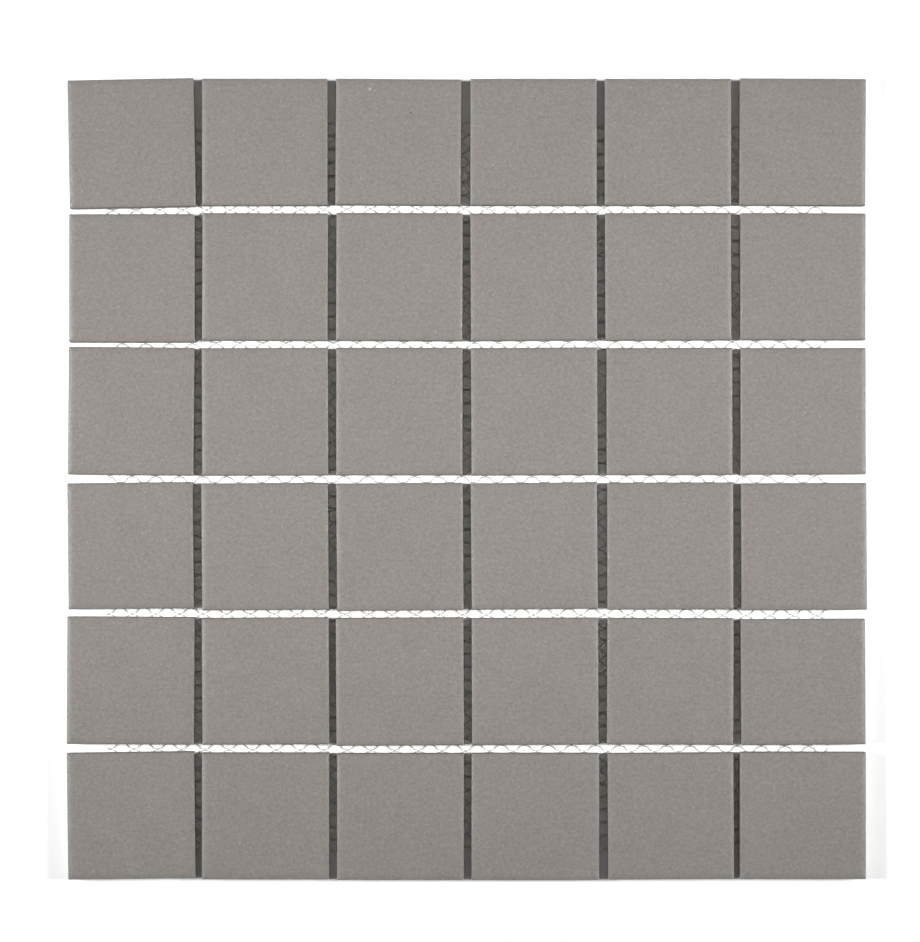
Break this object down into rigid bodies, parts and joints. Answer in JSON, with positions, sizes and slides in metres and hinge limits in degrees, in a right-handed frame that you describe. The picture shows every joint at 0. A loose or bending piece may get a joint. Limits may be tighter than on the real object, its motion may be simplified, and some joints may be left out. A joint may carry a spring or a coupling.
{
  "type": "mosaic tile sheet",
  "caption": "Square sheet of unglazed porcelain mosaic tiles in even rows, held at open joints by a net bonded to their backs and lying face up.",
  "frame": {"origin": "middle of the sheet's underside, on the floor it lies on", "axes": "+X along the tile rows to the right, +Y up the tile columns, +Z out of the tiles' faces"},
  "size_m": [0.3037, 0.3044, 0.0064],
  "materials": {
    "porcelain": "unglazed, matt, warm grey with a fine even grain",
    "netting": "matt white coated thread"
  },
  "bodies": {
    "root": {"tile_r1_c1": "porcelain", "tile_r1_c2": "porcelain", "tile_r1_c3": "porcelain", "tile_r1_c4": "porcelain", "tile_r1_c5": "porcelain", "tile_r1_c6": "porcelain", "tile_r2_c1": "porcelain", "tile_r2_c2": "porcelain", "tile_r2_c3": "porcelain", "tile_r2_c4": "porcelain", "tile_r2_c5": "porcelain", "tile_r2_c6": "porcelain", "tile_r3_c1": "porcelain", "tile_r3_c2": "porcelain", "tile_r3_c3": "porcelain", "tile_r3_c4": "porcelain", "tile_r3_c5": "porcelain", "tile_r3_c6": "porcelain", "tile_r4_c1": "porcelain", "tile_r4_c2": "porcelain", "tile_r4_c3": "porcelain", "tile_r4_c4": "porcelain", "tile_r4_c5": "porcelain", "tile_r4_c6": "porcelain", "tile_r5_c1": "porcelain", "tile_r5_c2": "porcelain", "tile_r5_c3": "porcelain", "tile_r5_c4": "porcelain", "tile_r5_c5": "porcelain", "tile_r5_c6": "porcelain", "tile_r6_c1": "porcelain", "tile_r6_c2": "porcelain", "tile_r6_c3": "porcelain", "tile_r6_c4": "porcelain", "tile_r6_c5": "porcelain", "tile_r6_c6": "porcelain", "backing_net": "netting"}
  },
  "joints": []
}
